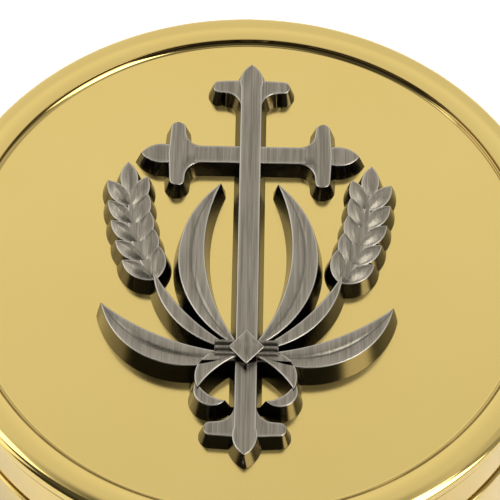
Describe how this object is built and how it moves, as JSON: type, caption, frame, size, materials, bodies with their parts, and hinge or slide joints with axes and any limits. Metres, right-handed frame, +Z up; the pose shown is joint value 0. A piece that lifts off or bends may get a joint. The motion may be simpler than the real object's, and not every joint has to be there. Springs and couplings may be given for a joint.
{
  "type": "pyx",
  "caption": "Round hinged metal box with a sunk lid plate, raised border and cast cross-and-sheaf emblem, for carrying hosts.",
  "frame": {"origin": "centre of the base's underside, where the box stands", "axes": "+Z up out of the lid, +Y towards the hinge, -Y towards the thumb tab"},
  "size_m": [0.055, 0.0592, 0.0181],
  "materials": {
    "gold_plate": "mirror-polished gold plate on brass",
    "hinge_brass": "gold plated, lightly brushed",
    "pewter": "cast pewter, black patina, brushed on top",
    "rivet_brass": "satin brass",
    "spring": "satin spring strip"
  },
  "bodies": {
    "base": {"base_cup": "gold_plate", "base_collar": "gold_plate", "hinge_base_leaf": "hinge_brass", "hinge_pin": "hinge_brass", "catch_rivets": "rivet_brass"},
    "lid": {"lid_shell": "gold_plate", "hinge_lid_leaf": "hinge_brass", "thumb_tab": "gold_plate", "emblem_cross": "pewter", "emblem_sheaf": "pewter", "emblem_rivets": "rivet_brass"},
    "catch": {"catch_spring": "spring"}
  },
  "joints": [
    {"name": "lid_hinge", "type": "hinge", "parent": "base", "child": "lid", "pos_m": [0, 0.0289, 0.00912], "axis": [-1, 0, 0], "range_deg": [0, 120]},
    {"name": "catch_flex", "type": "hinge", "parent": "base", "child": "catch", "pos_m": [0, -0.02526, 0.0042], "axis": [-1, 0, 0], "range_deg": [0, 4], "stiffness_Nm_per_rad": 0.1}
  ]
}
